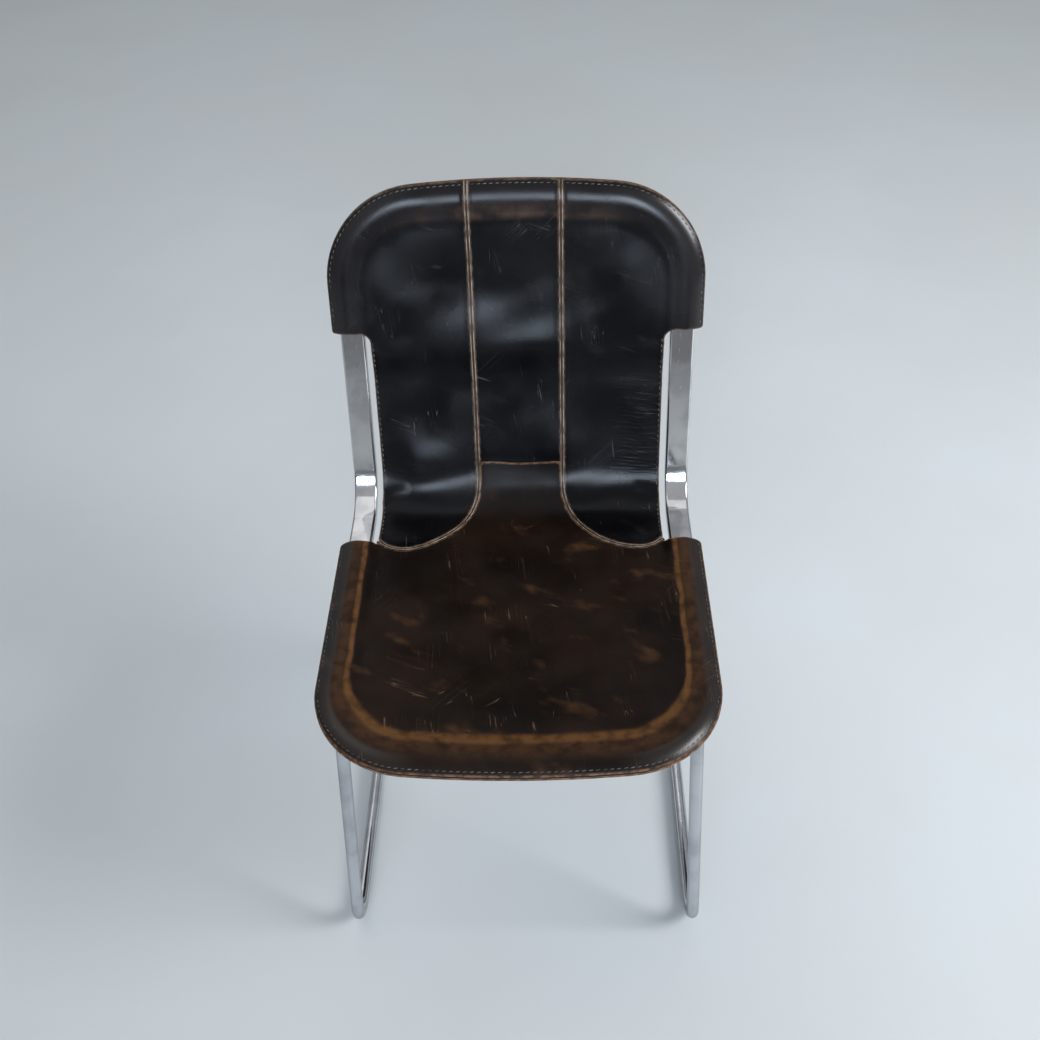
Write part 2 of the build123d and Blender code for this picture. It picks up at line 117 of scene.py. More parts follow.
def blend_colours(tree, amount, first, second):
    """A colour between two, by an amount from 0 to 1."""
    mixed = node(tree, "ShaderNodeMix", data_type="RGBA")
    sockets = {s.identifier: s for s in mixed.inputs}
    for key, value in (("Factor_Float", amount), ("A_Color", first), ("B_Color", second)):
        feed(tree, sockets[key], value)
    return next(s for s in mixed.outputs if s.identifier == "Result_Color")


def sums(tree, operation, first, second=0.0):
    """One step of arithmetic on values that change over the surface."""
    made = node(tree, "ShaderNodeMath", operation=operation)
    for socket, value in zip(made.inputs, (first, second)):
        feed(tree, socket, value)
    return made.outputs[0]


def remap(tree, value, low, high, new_low=0.0, new_high=1.0):
    """Stretches a value from one range to another, with soft ends."""
    ranges = {"From Min": low, "From Max": high, "To Min": new_low, "To Max": new_high}
    made = node(tree, "ShaderNodeMapRange", ranges, interpolation_type="SMOOTHSTEP")
    tree.links.new(value, made.inputs["Value"])
    return made.outputs["Result"]


print("node helpers ready")

# %% [markdown]
# ## Floor and light
# A plain pale floor, a soft room and three wide lamps. The window lamp at the right gives the
# chair its shadow on the left and the bright right-hand corners. The front lamp is what the
# polished back mirrors, so its beam is kept narrow and off the floor. The room is darker
# low down than overhead, which gives the chrome and the black leather some contrast.

# %% Lay the floor
FLOOR_SIZE = 9.0
FLOOR_COLOUR = (0.615, 0.64, 0.645, 1)
FLOOR_CLOUD = (0.63, 0.67, 0.68, 1)

bpy.ops.mesh.primitive_grid_add(x_subdivisions=8, y_subdivisions=8, size=FLOOR_SIZE)
floor = bpy.context.object
floor.name = "floor"
floor_finish, tree, shader = material("floor_paint", Roughness=0.55)
place = node(tree, "ShaderNodeTexCoord").outputs["Object"]
cloud = node(tree, "ShaderNodeTexNoise", {"Vector": place, "Scale": 2.2, "Detail": 5.0}).outputs["Fac"]
shade = blend_colours(tree, remap(tree, cloud, 0.3, 0.7), FLOOR_COLOUR, FLOOR_CLOUD)
tree.links.new(shade, shader.inputs["Base Color"])
floor.data.materials.append(floor_finish)
print("floor", FLOOR_SIZE, "m")

# %% Light the room
ROOM_LOW = (0.36, 0.37, 0.385, 1)
ROOM_HIGH = (0.86, 0.88, 0.91, 1)
ROOM_LEVEL = 0.47
# Each lamp: place, height it aims at, width, height, watts, angle of its beam, colour.
LAMPS = {
    "window_lamp": ((3.1, -0.7, 2.3), 0.45, 1.5, 1.7, 110.0, pi, (0.97, 0.98, 1.0)),
    "top_lamp": ((-0.8, 0.8, 3.4), 0.45, 3.2, 3.2, 16.0, pi, (1.0, 0.99, 0.97)),
    "front_lamp": ((0.0, -3.3, 2.0), 1.35, 2.2, 1.3, 24.0, radians(60), (0.72, 0.84, 1.0)),
}

world = bpy.data.worlds.new("room")
scene.world = world
world.use_nodes = True
tree = world.node_tree
sky = node(tree, "ShaderNodeTexCoord").outputs["Generated"]
height = node(tree, "ShaderNodeSeparateXYZ", {"Vector": sky}).outputs["Z"]
room = blend_colours(tree, remap(tree, height, -0.05, 0.75), ROOM_LOW, ROOM_HIGH)
tree.links.new(room, tree.nodes["Background"].inputs["Color"])
tree.nodes["Background"].inputs["Strength"].default_value = ROOM_LEVEL

for name, (spot, aim, width, tall, power, beam, tint) in LAMPS.items():
    bpy.ops.object.light_add(type="AREA", location=spot)
    lamp = bpy.context.object
    lamp.name = name
    lamp.rotation_euler = (Vector((0, 0, aim)) - Vector(spot)).to_track_quat("-Z", "Y").to_euler()
    lamp.data.shape = "RECTANGLE"
    lamp.data.size = width
    lamp.data.size_y = tall
    lamp.data.energy = power
    lamp.data.spread = beam
    lamp.data.color = tint
scene.view_settings.view_transform = "Standard"
print("lamps", list(LAMPS))

# %% [markdown]
# ## Where the leather lies
# The sling is one long sheet that follows the tubes: flat over the seat, round the bend, up the
# back. So each piece is first drawn flat, as a leather worker cuts it: `x` runs across and
# `run` along the sling, 0 at the start of the bend. Two functions then lay a flat point in
# space. The sizes repeat those of the solids.

# %% Sizes of the hoop and sling
RAIL_HEIGHT = 0.411
CORNER_Y = 0.1761
LEAN = radians(14)
BEND_RADIUS = 0.062
HALF_SPAN = 0.210
CORNER_RADIUS = 0.096
BOW_RADIUS = 1.350
SEAT_DEPTH = 0.4375
BACK_LENGTH = 0.404
EDGE_REACH = 0.026
SEAT_MOUTH = 0.0975
BACK_MOUTH = 0.240
WAIST_HALF = 0.187
LEATHER = 0.003
RAIL_TOP = 0.0108

BEND_ANGLE = pi / 2 - LEAN
BEND_RUN = BEND_RADIUS * BEND_ANGLE
BEND_TANGENT = BEND_RADIUS * tan(BEND_ANGLE / 2)
BOW_SLOPE = asin((HALF_SPAN - CORNER_RADIUS) / (BOW_RADIUS - CORNER_RADIUS))
CORNER_RISE = CORNER_RADIUS * cos(BOW_SLOPE) + BOW_RADIUS * (1 - cos(BOW_SLOPE))
SEAT_MOUTH_RUN = BEND_TANGENT - SEAT_MOUTH
BACK_MOUTH_RUN = BEND_RUN + BACK_MOUTH - BEND_TANGENT
ENDS = {"seat": SEAT_DEPTH, "back": BACK_LENGTH}
print("pouch mouths at run", round(SEAT_MOUTH_RUN, 4), round(BACK_MOUTH_RUN, 4))


# %% From the flat pattern to space
def ease(value):
    """Smooth step from 0 to 1."""
    held = np.clip(value, 0, 1)
    return held * held * (3 - 2 * held)


def lay(x, run, level):
    """Points in space for a flat point, at a level above the middle of the rails."""
    turn = np.clip(run / BEND_RADIUS, 0, BEND_ANGLE)
    before = np.minimum(run, 0)
    after = np.maximum(run - BEND_RUN, 0)
    y = CORNER_Y - BEND_TANGENT + before + BEND_RADIUS * np.sin(turn) + after * np.cos(turn)
    z = RAIL_HEIGHT + BEND_RADIUS * (1 - np.cos(turn)) + after * np.sin(turn)
    return np.stack([x + 0 * y, y - level * np.sin(turn), z + level * np.cos(turn)], -1)


def reach_of(end, run):
    """Distance of a flat point from the line where seat and back meet."""
    return BEND_TANGENT - run if end == "seat" else BEND_TANGENT + run - BEND_RUN


def rim_offset(x, run):
    """How far a flat point lies outside the centre-line of the hoop."""
    side = np.abs(x)
    found = side - HALF_SPAN
    for end, length in ENDS.items():
        reach = reach_of(end, run)
        spoke = np.hypot(side - HALF_SPAN + CORNER_RADIUS, reach - length + CORNER_RISE)
        corner = spoke - CORNER_RADIUS
        bow_reach = reach - length + BOW_RADIUS
        bow = np.hypot(side, bow_reach) - BOW_RADIUS
        rounded = np.where(side < bow_reach * tan(BOW_SLOPE), bow, corner)
        found = np.where(reach > length - CORNER_RISE, rounded, found)
    return found


print("front edge lies at", lay(0.0, BEND_TANGENT - SEAT_DEPTH - EDGE_REACH, 0.0).round(4))

# %% [markdown]
# ## The hollow of the sling
# Between the tubes the leather hangs in a shallow hollow, deepest in the seat. Over the tube it
# has a low crown and a round shoulder that falls to the sewn edge. Between the two pouches
# the free edges lie lower than the tube, where both layers are sewn together.

# %% Levels of face and lining
FLAT_REACH = 0.012
CROWN = 0.0020
CROWN_AT = 0.002
CROWN_REACH = 0.0165
SHOULDER = 0.034
TUBE_INSIDE = -0.0145
DIP = 0.0022
DIP_LENGTH = 0.013
SEAT_SAG = 0.013
WAIST_SAG = 0.005
BACK_SAG = 0.0105
SAG_HALF = 0.194
SAG_START = 0.06
SEAT_SPREAD = 0.19103
BACK_DEEPENS = 0.20
BACK_SPREAD = 0.13
TOP_SPREAD = 0.10
SLING_TOP = 0.4308
EDGE_DROP = 0.0079
EDGE_REACH_IN = 0.009
FACE_DROP = (-0.035, 0.05)
EDGE_ZONE = (0.10, 0.07)
LINING_RISE = 0.0062
DROP_DELAY = 0.014
DROP_LENGTH = 0.055
PINCH_LENGTH = 0.05
WAVE = 0.0012
# Each wave: its share, then two ripples as (turns across, turns along, start).
WAVES = (
    (1.0, (38, 21, 0.6), (-12, 33, 1.9)),
    (0.45, (71, -46, 2.2), (27, 64, 0.0)),
)
# Each swell: x and run of its middle, its width and length, its height.
SWELLS = (
    (-0.128, 0.088, 0.062, 0.046, 0.0088),
    (0.045, 0.112, 0.032, 0.034, 0.0040),
    (0.090, 0.050, 0.030, 0.030, 0.0015),
    (0.015, 0.262, 0.080, 0.045, 0.0014),
    (0.156, 0.342, 0.032, 0.034, 0.0034),
)


def rolled(offset):
    """Height of the face over the tube: a low crown, then a round shoulder down to the sewn edge."""
    past = offset - CROWN_AT
    inner = CROWN * np.clip(1 - (past / CROWN_REACH) ** 2, 0, 1) ** 2
    outer = CROWN + np.sqrt(SHOULDER**2 - np.clip(past, 0, SHOULDER) ** 2) - SHOULDER
    return RAIL_TOP + np.where(past > 0, outer, inner)


def tucked(offset):
    """Depth of the lining under the tube: flat, then rising to the sewn edge."""
    return RAIL_TOP - (RAIL_TOP - LEATHER) * ease((offset - FLAT_REACH) / (EDGE_REACH - FLAT_REACH))


def between_mouths(run, delay=DROP_DELAY, length=DROP_LENGTH):
    """1 along the free edges of the waist, 0 in the pouches."""
    down = ease((run - SEAT_MOUTH_RUN - delay) / length)
    up = ease((BACK_MOUTH_RUN - DROP_DELAY - run) / DROP_LENGTH)
    return down * up


def sag(run):
    """Depth of the hollow in the middle of the sling."""
    middle = BEND_RUN / 2
    front = SEAT_SAG * ease((run + 2 * SEAT_SPREAD) / SEAT_SPREAD)
    waist = (WAIST_SAG - SEAT_SAG) * ease((run + SEAT_SPREAD) / (middle + SEAT_SPREAD))
    back = (BACK_SAG - WAIST_SAG) * ease((run - BACK_DEEPENS) / BACK_SPREAD)
    return (front + waist + back) * ease((SLING_TOP - run) / TOP_SPREAD)


def waves(x, run):
    """Gentle unevenness of leather that has been leaned on for years."""
    level = 0.0
    for share, *ripples in WAVES:
        (over, along, start), (over_2, along_2, start_2) = ripples
        first = np.sin(over * x + along * run + start)
        level = level + WAVE * share * first * np.sin(over_2 * x + along_2 * run + start_2)
    for spot_x, spot_run, wide, long, height in SWELLS:
        away = ((x - spot_x) / wide) ** 2 + ((run - spot_run) / long) ** 2
        level = level + height * np.exp(-away)
    return level


def face_level(x, run):
    """Height of the grain side of the face leather above the middle of the rails."""
    offset = rim_offset(x, run)
    inside = TUBE_INSIDE - offset
    free = ease(inside / SAG_START)
    hollow = np.clip(1 - (x / SAG_HALF) ** 2, 0, 1) ** 2 * free
    fall = DIP * ease(inside / DIP_LENGTH)
    at_edge = ease((np.abs(x) - EDGE_ZONE[0]) / EDGE_ZONE[1])
    early = at_edge * between_mouths(run, *FACE_DROP) + (1 - at_edge) * between_mouths(run)
    fall = fall + EDGE_DROP * early * ease(inside / EDGE_REACH_IN)
    web = RAIL_TOP - fall - sag(run) * hollow + waves(x, run) * free
    return np.where(inside > 0, web, rolled(offset))


def lining_level(x, run):
    """Height of the outer side of the lining, which is flat but for its edges."""
    offset = rim_offset(x, run)
    edge = ease(1 - (WAIST_HALF - np.abs(x)) / PINCH_LENGTH)
    web = -RAIL_TOP + LINING_RISE * between_mouths(run) * edge
    return np.where(offset < TUBE_INSIDE, web, -tucked(offset))


print("seat hollow", round(float(RAIL_TOP - face_level(0.0, -0.19)) * 1000, 1), "mm deep")

# %% [markdown]
# ## Outlines of the pieces
# A line at a constant distance from the tube is the key to every outline: at 26 mm it is the cut
# edge of the leather, and a little less is the line of stitches. The mouths of the pouches are
# rounded where the leather would otherwise tear.

# %% Lines along the hoop
STEP = 0.0035


def hoop_row(end, start, offset, step=STEP):
    """Flat points at one distance from the tube, round one end of the hoop from right to left."""
    length = ENDS[end]
    corner = length - CORNER_RISE
    sides = np.linspace(start, corner, max(2, ceil((corner - start) / step)), endpoint=False)
    turns = np.linspace(0, pi / 2 - BOW_SLOPE, ceil(CORNER_RADIUS * pi / 2 / step), endpoint=False)
    bows = np.linspace(BOW_SLOPE, 0, ceil(HALF_SPAN / step / 2) * 2)
    x = np.concatenate([
        0 * sides + HALF_SPAN + offset,
        HALF_SPAN - CORNER_RADIUS + (CORNER_RADIUS + offset) * np.cos(turns),
        (BOW_RADIUS + offset) * np.sin(bows),
    ])
    reach = np.concatenate([
        sides,
        corner + (CORNER_RADIUS + offset) * np.sin(turns),
        length - BOW_RADIUS + (BOW_RADIUS + offset) * np.cos(bows),
    ])
    run = BEND_TANGENT - reach if end == "seat" else reach - BEND_TANGENT + BEND_RUN
    half = np.stack([x, run], -1)
    return np.concatenate([half, half[-2::-1] * (-1, 1)])


def rounded(corners, step=STEP / 2):
    """A flat path through corners (x, run, radius), each rounded by its radius."""
    points = [np.array(c[:2]) for c in corners]
    path = [points[0]]
    for before, here, after, (_, _, radius) in zip(points, points[1:], points[2:], corners[1:-1]):
        one = (before - here) / np.linalg.norm(before - here)
        two = (after - here) / np.linalg.norm(after - here)
        half = np.arccos(np.clip(one @ two, -1, 1)) / 2
        centre = here + (one + two) / np.linalg.norm(one + two) * radius / sin(half)
        first = here + one * radius / tan(half) - centre
        last = here + two * radius / tan(half) - centre
        for share in np.linspace(0, 1, 7):
            spoke = first * (1 - share) + last * share
            path.append(centre + spoke / np.linalg.norm(spoke) * radius)
    path.append(points[-1])
    return thick_set(np.array(path), step * 2)


def thick_set(path, step=STEP):
    """The same path with points no further apart than a step."""
    made = [path[0]]
    for a, b in zip(path, path[1:]):
        count = max(1, ceil(np.linalg.norm(b - a) / step))
        made.extend(a + (b - a) * k / count for k in range(1, count + 1))
    return np.array(made)


seat_edge = hoop_row("seat", SEAT_MOUTH, EDGE_REACH)
print("seat edge", len(seat_edge), "points")

# %% [markdown]
# ## The long seams
# Two seams run down the back, then flare out and turn up to the corners of the seat pouch. They
# were set out on a slanted plane halfway between seat and back, so a point is found there
# first, and its `run` follows by a few steps of correction.

# %% Seam lines on the slanted plane
SLANT = BEND_ANGLE / 2
SEAM_X = 0.057
FLARE_RADIUS = 0.098
FLARE_TOP = 0.016
UPTURN_RADIUS = 0.045
UPTURN = radians(40)
LAP = 0.042
WELT_HALF = 0.0025


def slant_of(x, run):
    """Height of a point of the sling along the slanted plane."""
    y, z = np.moveaxis(lay(x, run, face_level(x, run) - LEATHER / 2), -1, 0)[1:]
    return (y - CORNER_Y) * cos(SLANT) + (z - RAIL_HEIGHT) * sin(SLANT)


def run_at(x, slant):
    """The run of a sling point that lies at a height on the slanted plane."""
    x, slant = np.broadcast_arrays(np.asarray(x, float), np.asarray(slant, float))
    run = BEND_RUN / 2 + slant / cos(SLANT)
    nudge = 1e-4
    for _ in range(12):
        miss = slant - slant_of(x, run)
        run = run + miss * nudge / (slant_of(x, run + nudge) - slant_of(x, run))
    return run


def top_run(x):
    """Run of the cut edge at the top of the back."""
    reach = BACK_LENGTH - BOW_RADIUS + np.sqrt((BOW_RADIUS + EDGE_REACH) ** 2 - np.asarray(x) ** 2)
    return reach - BEND_TANGENT + BEND_RUN


def seam_path(shift=0.0, step=STEP):
    """Right-hand seam from the top edge down and out, shifted towards the side panel."""
    x = SEAM_X + shift
    start = float(run_at(x, FLARE_TOP))
    runs = np.arange(float(top_run(x)), start, -step)
    turns = np.linspace(0, pi / 2, ceil(FLARE_RADIUS * pi / 2 / step))
    rise = np.linspace(0, UPTURN, 11)[1:]
    bottom = SEAM_X + FLARE_RADIUS
    arc_x = bottom - (FLARE_RADIUS - shift) * np.cos(turns)
    arc_slant = FLARE_TOP - (FLARE_RADIUS - shift) * np.sin(turns)
    up_x = bottom + (UPTURN_RADIUS - shift) * np.sin(rise)
    up_slant = FLARE_TOP - FLARE_RADIUS + UPTURN_RADIUS - (UPTURN_RADIUS - shift) * np.cos(rise)
    end_slant = up_slant[-1] + (WAIST_HALF - up_x[-1]) * tan(UPTURN)
    curve_x = np.concatenate([arc_x, up_x, [WAIST_HALF]])
    curve_run = run_at(curve_x, np.concatenate([arc_slant, up_slant, [end_slant]]))
    return np.concatenate([np.stack([0 * runs + x, runs], -1), np.stack([curve_x, curve_run], -1)])


def seam_distance(x, run):
    """Distance of a flat point from the nearer long seam."""
    side, slant = np.abs(x) - SEAM_X - FLARE_RADIUS, slant_of(x, run) - FLARE_TOP
    flare = FLARE_RADIUS - np.hypot(side, slant)
    upturn = UPTURN_RADIUS - np.hypot(side, slant + FLARE_RADIUS - UPTURN_RADIUS)
    low = np.where(side < 0, flare, upturn)
    return np.abs(np.where(slant > 0, side + FLARE_RADIUS, low))


seam = seam_path()
print("seam length", round(float(np.linalg.norm(np.diff(seam, axis=0), axis=1).sum()), 3), "m")

# %% [markdown]
# ## Cutting and laying a piece
# A piece is filled with points: rows along the tube, where the leather rolls over, and an even
# grid elsewhere. Blender's Delaunay routine joins them inside the outline. Each point is
# then laid in space, and Solidify gives the leather its thickness, with the raw cut edge and
# the flesh side as materials of their own. A grid primitive can't follow these outlines,
# so the pieces are made this way.

# %% Fill an outline
RIM_ROWS = (
    -24, -20.5, -17.5, -15, -13, -10, -6.5, -3, 0, 3, 6, 9,
    11.5, 13.5, 15.5, 17.5, 19.5, 21.5, 23.5, 25.2,
)
ROW_START = {"seat": 0.08, "back": 0.22}
ROW_CLEAR = 0.0006
GRID = 0.005
GRID_HALF = 0.235
GRID_RUNS = (-0.45, 0.5)
GRID_RIM = -0.0265
GRID_CLEAR = 0.002


def spread_points(end):
    """Candidate points for a piece: rows along the tube and a grid inside."""
    rows = [hoop_row(end, ROW_START[end], mm * 0.001) for mm in RIM_ROWS]
    xs = np.arange(-GRID_HALF, GRID_HALF + GRID / 50, GRID)
    runs = np.arange(*GRID_RUNS, GRID)
    grid = np.stack(np.meshgrid(xs, runs), -1).reshape(-1, 2)
    grid[:, 0] += GRID / 2 * (np.round((grid[:, 1] - GRID_RUNS[0]) / GRID) % 2)
    return grid, np.concatenate(rows)


def inside(outline, points):
    """Which points lie inside an outline, and how far they are from it."""
    a, b = outline, np.roll(outline, -1, axis=0)
    held, far = [], []
    for part in np.array_split(points, max(1, len(points) // 2000)):
        p = part[:, None]
        crosses = (a[:, 1] > p[..., 1]) != (b[:, 1] > p[..., 1])
        slope = (b[:, 0] - a[:, 0]) / np.where(b[:, 1] == a[:, 1], 1e-12, b[:, 1] - a[:, 1])
        held.append((crosses & (p[..., 0] < a[:, 0] + slope * (p[..., 1] - a[:, 1]))).sum(1) % 2 == 1)
        along = np.clip(((p - a) * (b - a)).sum(-1) / np.maximum(((b - a) ** 2).sum(-1), 1e-14), 0, 1)
        far.append(np.linalg.norm(p - a - along[..., None] * (b - a), axis=-1).min(1))
    return np.concatenate(held), np.concatenate(far)


def clean(outline, least=0.0004):
    """The outline without points that lie on top of each other."""
    gaps = np.linalg.norm(outline - np.roll(outline, 1, axis=0), axis=1)
    return outline[gaps > least]


def fill(outline, end):
    """Flat points and triangles of a piece."""
    grid, rows = spread_points(end)
    in_grid, far_grid = inside(outline, grid)
    free = rim_offset(grid[:, 0], grid[:, 1]) < GRID_RIM
    waist = (grid[:, 1] > SEAT_MOUTH_RUN) & (grid[:, 1] < BACK_MOUTH_RUN)
    in_rows, far_rows = inside(outline, rows)
    keep_grid = grid[in_grid & (far_grid > GRID_CLEAR) & (free | waist)]
    keep_rows = rows[in_rows & (far_rows > ROW_CLEAR)]
    loop = [(k, (k + 1) % len(outline)) for k in range(len(outline))]
    spots = [Vector(p) for p in np.concatenate([outline, keep_rows, keep_grid])]
    spots, _, faces, *_ = delaunay_2d_cdt(spots, loop, [], 1, 1e-6)
    return np.array([tuple(s) for s in spots]), faces


print("rim rows", len(RIM_ROWS))


# %% Make a leather piece
BEVEL = 0.0004


def new_piece(name, spots, faces, finishes):
    """A mesh object with its finishes, selected and active."""
    mesh = bpy.data.meshes.new(name)
    mesh.from_pydata(spots, [], faces)
    for finish in finishes:
        mesh.materials.append(finish)
    piece = bpy.data.objects.new(name, mesh)
    scene.collection.objects.link(piece)
    bpy.ops.object.select_all(action="DESELECT")
    piece.select_set(True)
    bpy.context.view_layer.objects.active = piece
    return piece


def leather_piece(name, outline, end, level, finishes, faces_up=True):
    """A leather sheet laid on the sling, with thickness, bevelled raw edges and smooth faces."""
    flat, faces = fill(clean(outline), end)
    spots = lay(flat[:, 0], flat[:, 1], level(flat[:, 0], flat[:, 1]))
    faces = [f if faces_up else f[::-1] for f in faces]
    piece = new_piece(name, spots.tolist(), faces, finishes)
    mesh = piece.data
    if (mesh.polygons[0].normal.z < 0) == faces_up:
        mesh.flip_normals()
    kept = {
        "rim": rim_offset(flat[:, 0], flat[:, 1]),
        "run": flat[:, 1],
        "cut": inside(clean(outline), flat)[1],
    }
    for key, values in kept.items():
        stored = mesh.attributes.new(key, "FLOAT", "POINT")
        stored.data.foreach_set("value", values.astype(np.float32))
    area = sum(p.area for p in mesh.polygons)
    thicken(piece)
    return piece, area


def thicken(piece):
    """Gives the active sheet its thickness inwards and takes the sharpness off its cut edges."""
    wall = piece.modifiers.new("wall", "SOLIDIFY")
    wall.thickness = LEATHER
    wall.offset = -1
    wall.material_offset = 2
    wall.material_offset_rim = 1
    soft = piece.modifiers.new("soft", "BEVEL")
    soft.limit_method = "ANGLE"
    soft.angle_limit = radians(55)
    soft.width = BEVEL
    soft.segments = 2
    soft.material = 1
    for step in ("wall", "soft"):
        bpy.ops.object.modifier_apply(modifier=step)
    bpy.ops.object.shade_smooth_by_angle(angle=radians(40))


print("ready to cut leather")

# %% [markdown]
# ## Leather finishes
# Saddle leather has a fine pebbled grain, soft blotches where oil and sun changed it, and thin
# pale scratches. These are shared by all leathers, so each is a node group. Scratches
# are drawn in the flat pattern, made of x and the stored `run`, so they follow the sheet
# round the bend.

# %% Node groups for grain and scratches
def new_group(name, outputs):
    """An empty node group with a vector input and named value outputs."""
    group = bpy.data.node_groups.new(name, "ShaderNodeTree")
    group.interface.new_socket("Vector", in_out="INPUT", socket_type="NodeSocketVector")
    for output in outputs:
        group.interface.new_socket(output, in_out="OUTPUT", socket_type="NodeSocketFloat")
    start = group.nodes.new("NodeGroupInput")
    return group, start.outputs["Vector"], group.nodes.new("NodeGroupOutput")


def noise_at(tree, vector, scale, detail=3.0, stretch=None, turn=0.0):
    """A noise value; stretch and turn set the pattern's own scale and angle."""
    if stretch:
        angled = {"Vector": vector, "Rotation": (0, 0, turn)}
        vector = node(tree, "ShaderNodeMapping", angled).outputs[0]
        vector = node(tree, "ShaderNodeMapping", {"Vector": vector, "Scale": stretch}).outputs[0]
    pattern = {"Vector": vector, "Scale": scale, "Detail": detail}
    return node(tree, "ShaderNodeTexNoise", pattern).outputs["Fac"]


PEBBLES_PER_METRE = 620.0
FINE_PER_METRE = 1900.0
BLOTCHES_PER_METRE = 13.0
PEBBLE_SHARE = 0.7

grain, vector, out = new_group("leather_grain", ["Height", "Blotch"])
cells = {"Vector": vector, "Scale": PEBBLES_PER_METRE}
cells = node(grain, "ShaderNodeTexVoronoi", cells, feature="DISTANCE_TO_EDGE").outputs["Distance"]
pebble = sums(grain, "MULTIPLY", remap(grain, cells, 0.0, 0.22), PEBBLE_SHARE)
fine = sums(grain, "MULTIPLY", noise_at(grain, vector, FINE_PER_METRE, 2.0), 1 - PEBBLE_SHARE)
grain.links.new(sums(grain, "ADD", pebble, fine), out.inputs["Height"])
grain.links.new(noise_at(grain, vector, BLOTCHES_PER_METRE, 6.0), out.inputs["Blotch"])

# Each set of scratches: its angle, its density, and how rare its places are.
SCRATCH_SETS = ((0.35, 1.0, 0.62), (1.45, 1.3, 0.58), (-0.8, 0.8, 0.63))

scratches, vector, out = new_group("scratches", ["Fine", "Patch"])
total = None
for turn, scale, rare in SCRATCH_SETS:
    streak = noise_at(scratches, vector, 1.0, 1.0, (4.5 * scale, 130.0 * scale, 1.0), turn)
    from_middle = sums(scratches, "ABSOLUTE", sums(scratches, "SUBTRACT", streak, 0.5))
    line = remap(scratches, from_middle, 0.005, 0.001)
    spread = noise_at(scratches, vector, 13.0 * scale, 1.0, (1.0, 1.6, 1.0), turn)
    mark = sums(scratches, "MULTIPLY", line, remap(scratches, spread, rare, rare + 0.06))
    total = mark if total is None else sums(scratches, "MAXIMUM", total, mark)
scratches.links.new(total, out.inputs["Fine"])
rub = noise_at(scratches, vector, 15.0, 9.0, (1.0, 1.7, 1.0), 0.5)
scratches.links.new(rub, out.inputs["Patch"])
print("groups", [g.name for g in bpy.data.node_groups])


# %% One recipe for grain leather
def flat_place(tree):
    """The pattern coordinate of a leather piece: x across and the stored run along it."""
    place = node(tree, "ShaderNodeTexCoord").outputs["Object"]
    x = node(tree, "ShaderNodeSeparateXYZ", {"Vector": place}).outputs["X"]
    run = node(tree, "ShaderNodeAttribute", attribute_name="run").outputs["Fac"]
    return node(tree, "ShaderNodeCombineXYZ", {"X": x, "Y": run}).outputs[0], x, run


GRAIN_DEPTH = 0.0004
RUB_SOFT = 0.22
GLOSS_SPREAD = 0.14


def grain_leather(name, dark, light, rubbed, mark, gloss, rub_from, specular, relief=0.22):
    """Leather with blotches from dark to light, rubbed patches, scratches and grain."""
    made, tree, shader = material(name, Specular_IOR_Level=specular)
    place = node(tree, "ShaderNodeTexCoord").outputs["Object"]
    flat, x, run = flat_place(tree)
    skin = node(tree, "ShaderNodeGroup", {"Vector": place}, node_tree=grain)
    marks = node(tree, "ShaderNodeGroup", {"Vector": flat}, node_tree=scratches)
    colour = blend_colours(tree, remap(tree, skin.outputs["Blotch"], 0.35, 0.68), dark, light)
    patch = remap(tree, marks.outputs["Patch"], rub_from, rub_from + RUB_SOFT)
    colour = blend_colours(tree, patch, colour, rubbed)
    colour = blend_colours(tree, sums(tree, "MULTIPLY", marks.outputs["Fine"], 0.5), colour, mark)
    rough = remap(tree, skin.outputs["Blotch"], 0.3, 0.7, gloss, gloss + GLOSS_SPREAD)
    rough = sums(tree, "ADD", rough, sums(tree, "MULTIPLY", marks.outputs["Fine"], 0.2))
    tree.links.new(rough, shader.inputs["Roughness"])
    height = sums(tree, "SUBTRACT", skin.outputs["Height"], marks.outputs["Fine"])
    bump = node(tree, "ShaderNodeBump", {"Height": height, "Strength": relief, "Distance": GRAIN_DEPTH})
    tree.links.new(bump.outputs["Normal"], shader.inputs["Normal"])
    return made, tree, shader, colour, (flat, x, run), bump


def rim_band(tree, middle, half, soft, width=1.0):
    """1 on a line at one distance from the tube's centre-line, fading to both sides."""
    rim = node(tree, "ShaderNodeAttribute", attribute_name="rim").outputs["Fac"]
    away = sums(tree, "DIVIDE", sums(tree, "ABSOLUTE", sums(tree, "SUBTRACT", rim, middle)), width)
    return remap(tree, away, half + soft, half)


POLISHED = (0.015, 0.004, 0.007)
POLISH_FROM = (0.10, 0.18)
POLISH = 0.8
POLISH_ROUGH = 0.24


def polish_shoulder(tree, shader, x):
    """Hands and legs polish the round shoulder at the sides and corners: a thin clear coat."""
    at_side = remap(tree, sums(tree, "ABSOLUTE", x), *POLISH_FROM)
    shoulder = sums(tree, "MULTIPLY", rim_band(tree, *POLISHED), at_side)
    tree.links.new(sums(tree, "MULTIPLY", shoulder, POLISH), shader.inputs["Coat Weight"])
    shader.inputs["Coat Roughness"].default_value = POLISH_ROUGH


WORN_EDGE = (0.0026, 0.0005)


def worn_edge(tree, flat, colour, bare):
    """Shows bare leather in broken strips along the cut edges."""
    cut = node(tree, "ShaderNodeAttribute", attribute_name="cut").outputs["Fac"]
    broken = remap(tree, noise_at(tree, flat, 120.0, 4.0), 0.38, 0.62, 0.15, 0.9)
    worn = sums(tree, "MULTIPLY", remap(tree, cut, *WORN_EDGE), broken)
    return blend_colours(tree, worn, colour, bare)


print("leather recipe ready")

# %% [markdown]
# ## Brown seat leather
# The seat was black once. Sitting has rubbed it brown, most along the inner edge of the
# tube, where a tan line shows, and in soft patches in the middle.

